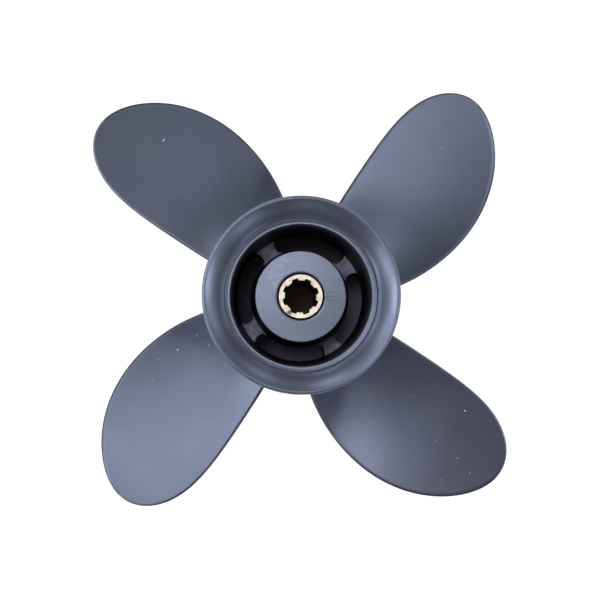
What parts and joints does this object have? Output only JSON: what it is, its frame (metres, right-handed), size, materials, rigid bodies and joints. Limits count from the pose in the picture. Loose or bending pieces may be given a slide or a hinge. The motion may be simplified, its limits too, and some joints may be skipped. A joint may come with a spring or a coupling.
{
  "type": "outboard boat propeller",
  "caption": "Right-hand boat propeller with a through-hub exhaust, a flared diffuser ring, a rubber bush and a splined brass sleeve for the shaft.",
  "frame": {"origin": "centre of the front rim of the barrel, on the shaft's axis, which is the lowest plane of the part", "axes": "+Z runs along the shaft's axis from the front end, which faces the gearcase, to the flared aft end; the four ribs lie at 45 degrees between +X and +Y and every quarter turn from there"},
  "size_m": [0.2054, 0.2054, 0.08],
  "materials": {
    "casting_paint": "satin",
    "passage_paint": "satin",
    "bush_rubber": "matte",
    "sleeve_brass": "satin"
  },
  "bodies": {
    "root": {"barrel": "casting_paint", "diffuser_ring": "casting_paint", "inner_hub": "casting_paint", "rib_1": "passage_paint", "rib_2": "passage_paint", "rib_3": "passage_paint", "rib_4": "passage_paint", "blade_1": "casting_paint", "blade_2": "casting_paint", "blade_3": "casting_paint", "blade_4": "casting_paint", "rubber_bush": "bush_rubber", "spline_sleeve": "sleeve_brass"}
  },
  "joints": []
}
